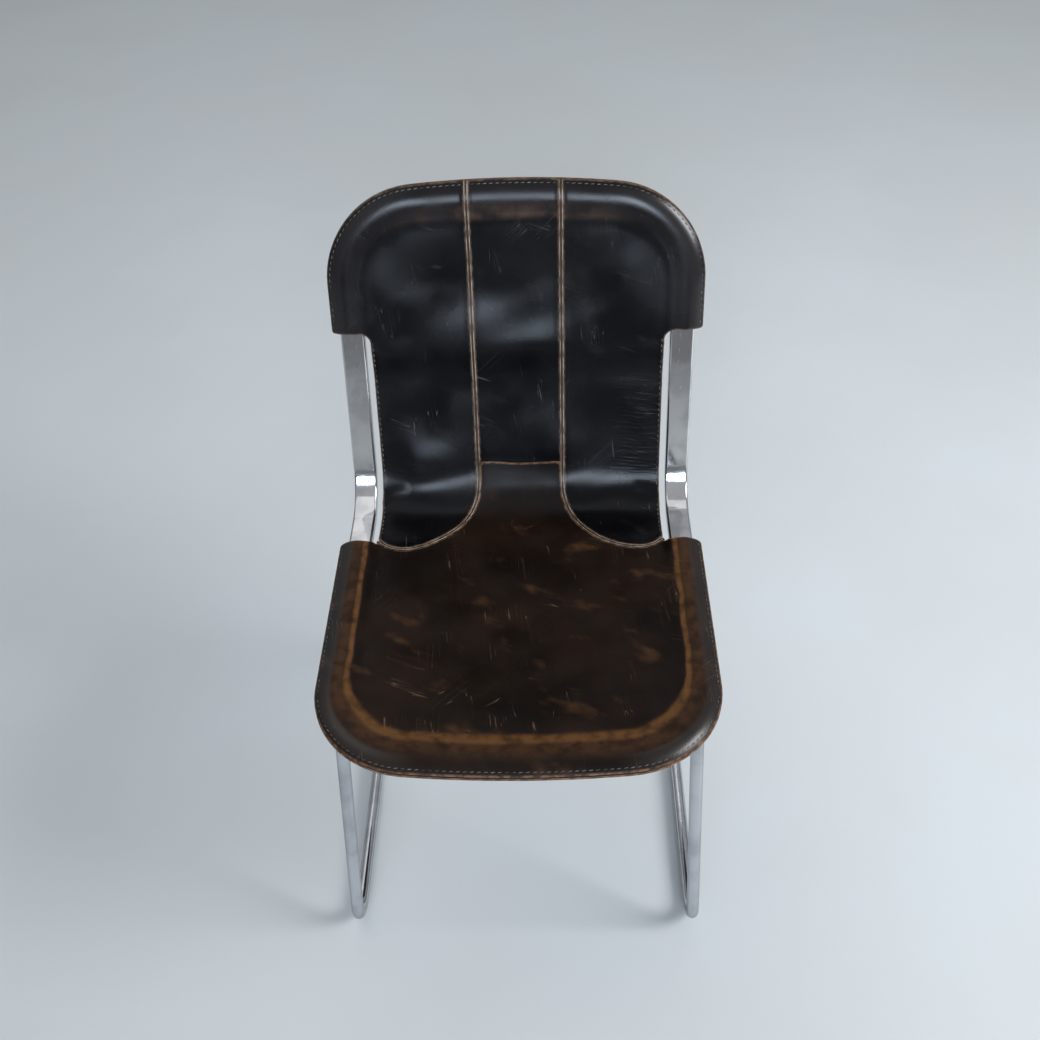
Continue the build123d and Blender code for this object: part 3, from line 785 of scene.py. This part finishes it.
# %% Seat leather
SEAT_DARK = (0.0046, 0.0023, 0.0014, 1)
SEAT_LIGHT = (0.0125, 0.0060, 0.0033, 1)
SEAT_RUBBED = (0.060, 0.027, 0.0115, 1)
SEAT_MARK = (0.17, 0.10, 0.055, 1)
SEAT_TAN = (0.128, 0.056, 0.0185, 1)
NECK_BLACK = (0.0060, 0.0052, 0.0056, 1)
EDGE_BARE = (0.165, 0.090, 0.050, 1)
NECK_RUNS = (-0.03, 0.07)
WEAR_RUNS = (-0.26, -0.34)
WEAR_LINE = (-0.0095, -0.0205)
WEAR_WIDTH = (0.75, 1.45)
WEAR_WOBBLE = 0.008
HALO_OUTSIDE = 0.010

seat_finish, tree, shader, colour, (flat, x, run), _ = grain_leather(
    "seat_leather", SEAT_DARK, SEAT_LIGHT, SEAT_RUBBED, SEAT_MARK, 0.34, 0.57, 0.13
)
colour = blend_colours(tree, remap(tree, run, *NECK_RUNS, 0.0, 0.75), colour, NECK_BLACK)
patchy = remap(tree, noise_at(tree, flat, 55.0, 8.0), 0.32, 0.60, 0.35, 1.0)
wide = remap(tree, run, *WEAR_RUNS, *WEAR_WIDTH)
wobble = sums(tree, "SUBTRACT", noise_at(tree, flat, 22.0, 4.0), 0.5)
wobble = sums(tree, "MULTIPLY", wobble, WEAR_WOBBLE)
middle = sums(tree, "ADD", remap(tree, run, *WEAR_RUNS, *WEAR_LINE), wobble)
outside = sums(tree, "ADD", middle, HALO_OUTSIDE)
halo = sums(tree, "MULTIPLY", rim_band(tree, outside, 0.002, 0.015, wide), 0.75)
colour = blend_colours(tree, sums(tree, "MULTIPLY", halo, patchy), colour, SEAT_RUBBED)
line = sums(tree, "MULTIPLY", rim_band(tree, middle, 0.0014, 0.0054, wide), patchy)
colour = blend_colours(tree, sums(tree, "MULTIPLY", line, 0.85), colour, SEAT_TAN)
tree.links.new(worn_edge(tree, flat, colour, EDGE_BARE), shader.inputs["Base Color"])
polish_shoulder(tree, shader, x)
print("seat leather", len(tree.nodes), "nodes")

# %% [markdown]
# ## Black back leather
# The back kept its colour and polish. A brown band shows on the top rail, where hands pull
# the chair out, and small creases run in from the right free edge.

# %% Back leather
BACK_DARK = (0.0022, 0.0022, 0.0028, 1)
BACK_LIGHT = (0.0048, 0.0047, 0.0058, 1)
BACK_RUBBED = (0.013, 0.0105, 0.0105, 1)
BACK_MARK = (0.085, 0.082, 0.085, 1)
BACK_BROWN = (0.085, 0.050, 0.032, 1)
BACK_BARE = (0.105, 0.066, 0.045, 1)
PULLED_BAND = (-0.0105, 0.002, 0.012)
DULL_BAND = (0.004, 0.012, 0.012)
CREASE_FROM = (0.095, 0.165)
CREASE_DEPTH = 0.0018

back_finish, tree, shader, colour, (flat, x, run), bump = grain_leather(
    "back_leather", BACK_DARK, BACK_LIGHT, BACK_RUBBED, BACK_MARK, 0.18, 0.58, 0.17, 0.09
)
centred = remap(tree, sums(tree, "ABSOLUTE", x), 0.17, 0.03)
patchy = remap(tree, noise_at(tree, flat, 30.0, 4.0), 0.34, 0.64, 0.1, 1.0)
pulled = sums(tree, "MULTIPLY", rim_band(tree, *PULLED_BAND), patchy)
pulled = sums(tree, "MULTIPLY", pulled, centred)
colour = blend_colours(tree, sums(tree, "MULTIPLY", pulled, 0.75), colour, BACK_BROWN)
dull = sums(tree, "MULTIPLY", rim_band(tree, *DULL_BAND), 0.5)
colour = blend_colours(tree, dull, colour, BACK_RUBBED)
tree.links.new(worn_edge(tree, flat, colour, BACK_BARE), shader.inputs["Base Color"])
polish_shoulder(tree, shader, x)
low_half = sums(tree, "MULTIPLY", remap(tree, run, 0.25, 0.17), remap(tree, run, 0.05, 0.08))
creased = sums(tree, "MULTIPLY", remap(tree, x, *CREASE_FROM), low_half)
ripple = sums(tree, "MULTIPLY", noise_at(tree, flat, 1.0, 2.0, (22.0, 190.0, 1.0), 0.08), creased)
creases = {"Height": ripple, "Strength": 0.5, "Distance": CREASE_DEPTH}
fold = node(tree, "ShaderNodeBump", creases | {"Normal": bump.outputs["Normal"]})
tree.links.new(fold.outputs["Normal"], shader.inputs["Normal"])
print("back leather", len(tree.nodes), "nodes")

# %% [markdown]
# ## Lining, raw edges and thread
# The lining is a plainer, duller leather. Cut edges show the tan core of the hide, and the flesh
# side is rough. The thread is waxed linen that has greyed.

# %% Lining leather and raw leather
lining_finish, tree, shader, colour, _, _ = grain_leather(
    "lining_leather", (0.012, 0.009, 0.0078, 1), (0.026, 0.0185, 0.0145, 1),
    (0.048, 0.030, 0.020, 1), (0.10, 0.075, 0.055, 1), 0.46, 0.60, 0.2
)
tree.links.new(colour, shader.inputs["Base Color"])


def fibre_leather(name, pale, deep, scale, roughness):
    """Bare leather fibres, mottled between two colours."""
    made, tree, shader = material(name, Roughness=roughness, Specular_IOR_Level=0.2)
    place = node(tree, "ShaderNodeTexCoord").outputs["Object"]
    coarse = noise_at(tree, place, scale, 5.0)
    colour = blend_colours(tree, remap(tree, coarse, 0.36, 0.64), deep, pale)
    tree.links.new(colour, shader.inputs["Base Color"])
    fuzz = noise_at(tree, place, scale * 9, 3.0)
    bump = node(tree, "ShaderNodeBump", {"Height": fuzz, "Strength": 0.5, "Distance": GRAIN_DEPTH})
    tree.links.new(bump.outputs["Normal"], shader.inputs["Normal"])
    return made


# Each finish: pale and deep colour, mottles per metre, roughness.
RAW = {
    "raw_edge": ((0.21, 0.125, 0.075, 1), (0.085, 0.046, 0.028, 1), 110.0, 0.7),
    "flesh_side": ((0.085, 0.055, 0.038, 1), (0.045, 0.03, 0.022, 1), 160.0, 0.9),
    "welt_edge": ((0.33, 0.265, 0.20, 1), (0.095, 0.068, 0.048, 1), 70.0, 0.6),
    "waxed_thread": ((0.125, 0.115, 0.105, 1), (0.028, 0.025, 0.022, 1), 60.0, 0.6),
}
raw_finishes = [fibre_leather(name, *look) for name, look in RAW.items()]
edge_finish, flesh_finish, welt_finish, thread_finish = raw_finishes
print("raw leather and thread ready")

# %% [markdown]
# ## Chrome, steel and plastic
# Old chrome is a mirror with smears and hair scratches. Smears dim it a little, and both make
# it rougher. Towards its outline a tube would mirror the dark parts of a room, so a painted dark
# reflection darkens the tint there with the Layer Weight node. The legs get a darker copy of the
# chrome, painted shade for their dimmer reflections.

# %% Metal and plastic finishes
SMEAR_DIM = 0.78


def bright_metal(name, tint, painted_rim_reflection, low, high, scratch):
    """Polished metal with smears, fine scratches and a painted dark reflection towards its outline."""
    made, tree, shader = material(name, Metallic=1.0)
    place = node(tree, "ShaderNodeTexCoord").outputs["Object"]
    smear = noise_at(tree, place, 26.0, 5.0)
    dim = tuple(v * SMEAR_DIM for v in tint[:3]) + (1,)
    colour = blend_colours(tree, remap(tree, smear, 0.40, 0.68), tint, dim)
    # Painted reflection: towards the outline the colour turns to a dark tint, standing in for the dark
    # room the chrome mirrors there.
    facing = node(tree, "ShaderNodeLayerWeight", {"Blend": 0.5}).outputs["Facing"]
    colour = blend_colours(tree, remap(tree, facing, 0.45, 0.95, 0.0, 0.8), colour, painted_rim_reflection)
    tree.links.new(colour, shader.inputs["Base Color"])
    hair = noise_at(tree, place, 1.0, 2.0, (420.0, 420.0, 22.0))
    rough = remap(tree, smear, 0.3, 0.75, low, high)
    rough = sums(tree, "ADD", rough, remap(tree, hair, 0.62, 0.75, 0.0, scratch))
    tree.links.new(rough, shader.inputs["Roughness"])
    bump = node(tree, "ShaderNodeBump", {"Height": hair, "Strength": 0.04, "Distance": 0.0002})
    tree.links.new(bump.outputs["Normal"], shader.inputs["Normal"])
    return made


# Each metal: its colour, its painted dark reflection colour at the outline, lowest and highest
# roughness, scratches.
METALS = {
    "chrome_plate": ((0.76, 0.765, 0.785, 1), (0.16, 0.155, 0.18, 1), 0.06, 0.17, 0.10),
    # The legs get a darker copy of the rail chrome: painted shade for their dimmer reflections.
    "leg_chrome_painted_darker": ((0.60, 0.615, 0.65, 1), (0.12, 0.12, 0.14, 1), 0.08, 0.20, 0.10),
    "sleeve_steel": ((0.50, 0.49, 0.48, 1), (0.25, 0.25, 0.25, 1), 0.30, 0.45, 0.15),
}
PLASTIC_DARK = (0.012, 0.012, 0.012, 1)
PLASTIC_LIGHT = (0.03, 0.03, 0.03, 1)

chrome, leg_chrome_painted_darker, sleeve_steel = [bright_metal(name, *look) for name, look in METALS.items()]
glide_plastic, tree, shader = material("glide_plastic", Specular_IOR_Level=0.4)
speck = noise_at(tree, node(tree, "ShaderNodeTexCoord").outputs["Object"], 900.0, 3.0)
colour = blend_colours(tree, speck, PLASTIC_DARK, PLASTIC_LIGHT)
tree.links.new(colour, shader.inputs["Base Color"])
tree.links.new(remap(tree, speck, 0.3, 0.7, 0.45, 0.65), shader.inputs["Roughness"])

FINISHES = (
    ("sled", leg_chrome_painted_darker), ("tube", chrome), ("rail", chrome), ("weld", chrome),
    ("sleeve", sleeve_steel), ("glide", glide_plastic),
)
for name, solid in nodes.items():
    finish = next((made for word, made in FINISHES if word in name), None)
    if finish:
        solid.data.materials.clear()
        solid.data.materials.append(finish)
        print(name, "gets", finish.name)

# %% [markdown]
# ## The face leather
# Four pieces make the face: the seat with its neck, two side panels and a centre panel. The neck
# laps over the foot of the centre panel, so its raw edge shows as a tan line. Beside a long
# seam the leather curls up a little to meet the welt.

# %% Outlines of the face
CORNER_ROUND = 0.003
SEAT_MOUTH_ROUND = 0.006
BACK_MOUTH_ROUND = 0.014
LAP_TUCK = 0.014
SIDE_X = HALF_SPAN + EDGE_REACH


def mirrored(half):
    """A closed outline from its right half."""
    return thick_set(np.concatenate([half, half[::-1] * (-1, 1)]))


low_seam = seam_path(-WELT_HALF)
inner_x = SEAM_X - WELT_HALF
lap_xs = np.linspace(inner_x, 0, 16)
lap_line = np.stack([lap_xs, run_at(lap_xs, LAP)], -1)
low_seam = low_seam[low_seam[:, 1] < lap_line[0, 1] - STEP / 4]
front = hoop_row("seat", SEAT_MOUTH + 2 * CORNER_ROUND, EDGE_REACH)
front = front[: len(front) // 2 + 1][::-1]
seat_mouth = rounded([
    tuple(front[-1]) + (0,),
    (SIDE_X, SEAT_MOUTH_RUN, CORNER_ROUND),
    (WAIST_HALF, SEAT_MOUTH_RUN, SEAT_MOUTH_ROUND),
    tuple(low_seam[-1]) + (0,),
])
seat_outline = mirrored(np.concatenate([front, seat_mouth, low_seam[::-1], lap_line]))

high_seam = seam_path(WELT_HALF)
arch = hoop_row("back", BACK_MOUTH + 2 * CORNER_ROUND, EDGE_REACH)
arch = arch[: len(arch) // 2 + 1]
back_mouth = rounded([
    tuple(high_seam[-1]) + (0,),
    (WAIST_HALF, BACK_MOUTH_RUN, BACK_MOUTH_ROUND),
    (SIDE_X, BACK_MOUTH_RUN, CORNER_ROUND),
    tuple(arch[0]) + (0,),
])
side_outline = thick_set(np.concatenate([arch[arch[:, 0] > SEAM_X + WELT_HALF], high_seam, back_mouth]))

bow = np.linspace(0, inner_x, 16)
foot_line = np.stack([lap_xs, run_at(lap_xs, LAP - LAP_TUCK)], -1)
centre_outline = mirrored(np.concatenate([np.stack([bow, top_run(bow)], -1), foot_line]))
print("outlines", len(seat_outline), len(side_outline), len(centre_outline))

# %% Levels of the face pieces
LAP_LIFT = 0.0016
LAP_LENGTH = 0.018
SEAM_CURL = 0.0011
CURL_LENGTH = 0.006


def curled(x, run):
    """Face level with the leather curling up beside the long seams."""
    near = 1 - ease((seam_distance(x, run) - WELT_HALF) / CURL_LENGTH)
    return face_level(x, run) + SEAM_CURL * near


def seat_level(x, run):
    """The seat; the end of its neck rides over the centre panel."""
    over = ease((slant_of(x, run) - LAP + LAP_TUCK + LAP_LENGTH) / LAP_LENGTH)
    return np.where(np.abs(x) < SEAM_X, curled(x, run) + LAP_LIFT * over, curled(x, run))


def centre_level(x, run):
    """The centre panel; its foot dives under the neck."""
    return curled(x, run) - LAP_LIFT * (1 - ease((slant_of(x, run) - LAP) / LAP_LENGTH))


print("neck lies", round(LAP_LIFT * 2000, 1), "mm over the centre panel")


def soft_piece(name, outline, end, level, finish, replaced, faces_up=True):
    """A finished leather piece: laid, on its body and in place of its solid."""
    finishes = [finish, edge_finish, flesh_finish]
    piece, area = leather_piece(name, outline, end, level, finishes, faces_up)
    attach(piece, "root")
    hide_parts(replaced)


soft_piece("seat_leather", seat_outline, "seat", seat_level, seat_finish, "seat_panel")
BACK_PANELS = {
    "right": (side_outline, curled),
    "left": (side_outline * (-1, 1), curled),
    "centre": (centre_outline, centre_level),
}
for side, (outline, level) in BACK_PANELS.items():
    replaced = "back_panel_" + side
    soft_piece("back_leather_" + side, outline, "back", level, back_finish, replaced)

# %% [markdown]
# ## The lining
# A second layer under the face closes the pouches. The seat part has two slots, so that it slips
# over the front legs, and laps over the back part at the mouth of the seat pouch.

# %% Lay the lining
LEG_X = 0.2074
LEG_REACH = 0.3585
SLOT_HALF = 0.0115
TUCK = 0.015
TUCK_LIFT = 1.07 * LEATHER

slot_run = BEND_TANGENT - LEG_REACH
turns = np.linspace(0, pi, 15)
slot_end = np.stack([LEG_X + SLOT_HALF * np.cos(turns), slot_run - SLOT_HALF * np.sin(turns)], -1)
mouth_line = rounded([
    tuple(front[-1]) + (0,),
    (SIDE_X, SEAT_MOUTH_RUN, CORNER_ROUND),
    (LEG_X + SLOT_HALF, SEAT_MOUTH_RUN, CORNER_ROUND),
    tuple(slot_end[0]) + (0,),
])
slot_back = rounded([
    tuple(slot_end[-1]) + (0,),
    (LEG_X - SLOT_HALF, SEAT_MOUTH_RUN, CORNER_ROUND),
    (0, SEAT_MOUTH_RUN, 0),
])
seat_lining_outline = mirrored(np.concatenate([front, mouth_line, slot_end, slot_back]))

low_run = SEAT_MOUTH_RUN - TUCK
waist_side = rounded([
    (0, low_run, 0),
    (WAIST_HALF, low_run, CORNER_ROUND),
    (WAIST_HALF, BACK_MOUTH_RUN, BACK_MOUTH_ROUND),
    (SIDE_X, BACK_MOUTH_RUN, CORNER_ROUND),
    tuple(arch[0]) + (0,),
])
back_lining_outline = mirrored(np.concatenate([waist_side, arch]))


def back_lining_level(x, run):
    """The back part of the lining; its lower end goes inside the seat part."""
    return lining_level(x, run) + TUCK_LIFT * ease((SEAT_MOUTH_RUN + TUCK - run) / TUCK)


LININGS = {
    "seat": (seat_lining_outline, lining_level),
    "back": (back_lining_outline, back_lining_level),
}
for end, (outline, level) in LININGS.items():
    replaced = end + "_lining"
    name = replaced + "_leather"
    soft_piece(name, outline, end, level, lining_finish, replaced, faces_up=False)

# %% [markdown]
# ## The raised seams
# In a long seam both panels turn up and are sewn back to back, so two raw edges stand side by side
# with a dark gap between them. A profile is carried along the seam, square to the leather.

# %% Raise the welts
LIP = (
    (-0.0027, -0.0026), (-0.0026, 0.0006), (-0.0023, 0.0014),
    (-0.0015, 0.0017), (-0.0013, 0.0012), (-0.0012, -0.0026),
)
RAW_SIDE = (2, 3)
GAP_FLOOR = ((-0.0015, -0.0026), (-0.0015, 0.0001), (0.0015, 0.0001), (0.0015, -0.0026))
WELT_BACK = 0.0004
NUDGE = 2e-4


def surface_frame(flat, level):
    """Places on a laid sheet with the direction along the path, out of the leather and across."""
    x, run = flat[:, 0], flat[:, 1]
    spots = lay(x, run, level(x, run))
    right, left, upper, lower = (
        lay(x + over, run + up, level(x + over, run + up))
        for over, up in ((NUDGE, 0), (-NUDGE, 0), (0, NUDGE), (0, -NUDGE))
    )
    out = np.cross(right - left, upper - lower)
    out /= np.linalg.norm(out, axis=1)[:, None]
    along = np.gradient(spots, axis=0)
    along /= np.linalg.norm(along, axis=1)[:, None]
    return spots, along, out, np.cross(out, along)


def welt(name, hand, replaced):
    """Two upturned lips of leather along one long seam, with the dark floor of the gap."""
    path = seam_path() * (hand, 1)
    path[0, 1] -= WELT_BACK
    spots, _, out, across = surface_frame(path, face_level)
    verts, faces, raw = [], [], []
    for side, profile in ((-1, LIP), (1, LIP), (0, GAP_FLOOR)):
        first = len(verts)
        count = len(profile)
        for spot, o, a in zip(spots, out, across):
            verts.extend(spot + (side or 1) * c * a + h * o for c, h in profile)
        last = len(verts) - count
        for ring in range(first, last, count):
            for j in range(count):
                one, two = ring + j, ring + (j + 1) % count
                quad = [one, two, two + count, one + count]
                faces.append(quad if side > 0 else quad[::-1])
                raw.append(1 if side and j in RAW_SIDE else 0)
        for start in (first, last):
            faces.append(list(range(start, start + count)))
            raw.append(1 if side else 0)
    piece = new_piece(name, [tuple(v) for v in verts], faces, [back_finish, welt_finish])
    piece.data.polygons.foreach_set("material_index", raw)
    bpy.ops.object.mode_set(mode="EDIT")
    bpy.ops.mesh.select_all(action="SELECT")
    bpy.ops.mesh.normals_make_consistent(inside=False)
    bpy.ops.object.mode_set(mode="OBJECT")
    bpy.ops.object.shade_smooth_by_angle(angle=radians(35))
    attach(piece, "root")
    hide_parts(replaced)
    print(name, len(faces), "faces")


welt("welt_right", 1, "seam_welt_right")
welt("welt_left", -1, "seam_welt_left")

# %% [markdown]
# ## Stitches
# Saddle stitches run all round the pouches, some 4 mm from the cut, and closer to it along the
# free edges. One stitch is modelled from a sphere, flattened and drawn out, then copied
# along each line. Every stitch leans a little, as two needles leave it.

# %% Model one stitch
STITCH_LENGTH = 0.0052
THREAD = 0.0012
STITCH_PITCH = 0.0076
STITCH_FLAT = 0.8
STITCH_DIVE = 0.36
STITCH_LIFT = 0.12

bpy.ops.object.select_all(action="DESELECT")
bpy.ops.mesh.primitive_uv_sphere_add(segments=8, ring_count=6, radius=0.5)
stitch = bpy.context.object
bpy.ops.object.mode_set(mode="EDIT")
bpy.ops.mesh.select_all(action="SELECT")
bpy.ops.transform.rotate(value=pi / 2, orient_axis="Y", center_override=(0, 0, 0))
bpy.ops.transform.resize(value=(STITCH_LENGTH, THREAD, THREAD * STITCH_FLAT))
bpy.ops.object.mode_set(mode="OBJECT")
stitch_verts = np.array([v.co for v in stitch.data.vertices])
stitch_verts[:, 2] -= THREAD * STITCH_DIVE * (stitch_verts[:, 0] / STITCH_LENGTH * 2) ** 4
stitch_faces = [list(p.vertices) for p in stitch.data.polygons]
bpy.data.objects.remove(stitch)
print("one stitch", len(stitch_faces), "faces")


# %% Sew along the edges
SEW_IN = 0.0044
WAIST_SEW_IN = 0.0028
SEW_LEAN = radians(9)
WAIST_SEW_ENDS = (0.008, 0.012)


def evenly(path, pitch):
    """Points along a flat path, one for each stitch."""
    gone = np.concatenate([[0], np.cumsum(np.linalg.norm(np.diff(path, axis=0), axis=1))])
    marks = np.arange(pitch / 2, gone[-1], pitch)
    return np.stack([np.interp(marks, gone, path[:, 0]), np.interp(marks, gone, path[:, 1])], -1)


def sew(name, lines):
    """Stitches along flat lines; each line has the level of its leather and the side it shows on."""
    verts, faces = [], []
    for path, level, side in lines:
        places = evenly(path, STITCH_PITCH)
        spots, along, out, across = surface_frame(places, level)
        for spot, a, o, c in zip(spots, along, out * side, across * side):
            lean = a * cos(SEW_LEAN) + c * sin(SEW_LEAN)
            beside = c * cos(SEW_LEAN) - a * sin(SEW_LEAN)
            base = len(verts)
            laid = spot + stitch_verts @ np.array([lean, beside, o]) + o * THREAD * STITCH_LIFT
            verts.extend(laid.tolist())
            faces.extend([base + k for k in face] for face in stitch_faces)
    piece = new_piece(name, verts, faces, [thread_finish])
    piece.data.polygons.foreach_set("use_smooth", [True] * len(faces))
    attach(piece, "root")
    print(name, len(faces) // len(stitch_faces), "stitches")


seat_sewn = hoop_row("seat", SEAT_MOUTH + SEW_IN, EDGE_REACH - SEW_IN)
back_sewn = hoop_row("back", BACK_MOUTH + SEW_IN, EDGE_REACH - SEW_IN)
waist_ends = (SEAT_MOUTH_RUN + WAIST_SEW_ENDS[0], BACK_MOUTH_RUN - WAIST_SEW_ENDS[1])
waist_runs = np.linspace(*waist_ends, 60)
waist_sewn = np.stack([0 * waist_runs + WAIST_HALF - WAIST_SEW_IN, waist_runs], -1)
for side, level, hand in (("face", face_level, 1), ("lining", lining_level, -1)):
    sew("stitching_" + side, [(seat_sewn, level, hand), (back_sewn, level, hand)])
    waists = [(waist_sewn * (mirror, 1), level, hand) for mirror in (1, -1)]
    sew("waist_stitching_" + side, waists)
